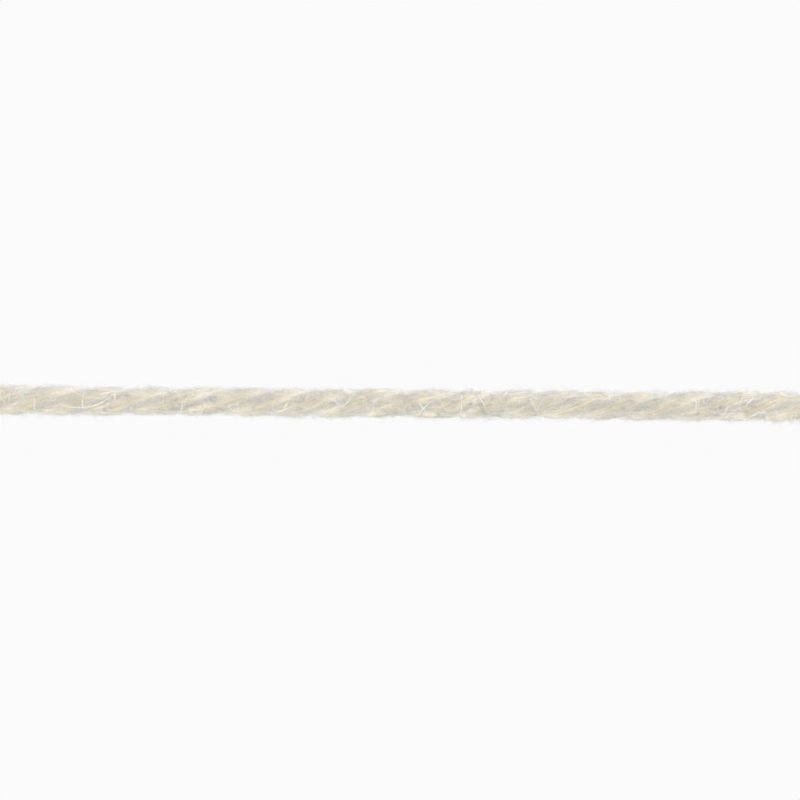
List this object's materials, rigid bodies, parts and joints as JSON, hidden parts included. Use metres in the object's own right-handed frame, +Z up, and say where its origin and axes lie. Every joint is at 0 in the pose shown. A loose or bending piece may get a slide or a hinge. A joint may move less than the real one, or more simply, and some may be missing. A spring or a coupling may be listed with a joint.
{
  "type": "cotton yarn strand",
  "caption": "Short straight length of soft plied cotton yarn in an S twist, cut plainly at both ends, for knitting, crochet, weaving and tying.",
  "frame": {"origin": "middle of the strand's box, on the surface that the strand rests on", "axes": "+X along the strand, +Z up from the surface, +Y across it"},
  "size_m": [0.084, 0.0028, 0.0027],
  "materials": {
    "undyed_cotton": "matte undyed cream staple fibre, softly fuzzy, warmer between the plies"
  },
  "bodies": {
    "root": {"ply_1": "undyed_cotton", "ply_2": "undyed_cotton", "ply_3": "undyed_cotton", "ply_4": "undyed_cotton"}
  },
  "joints": []
}
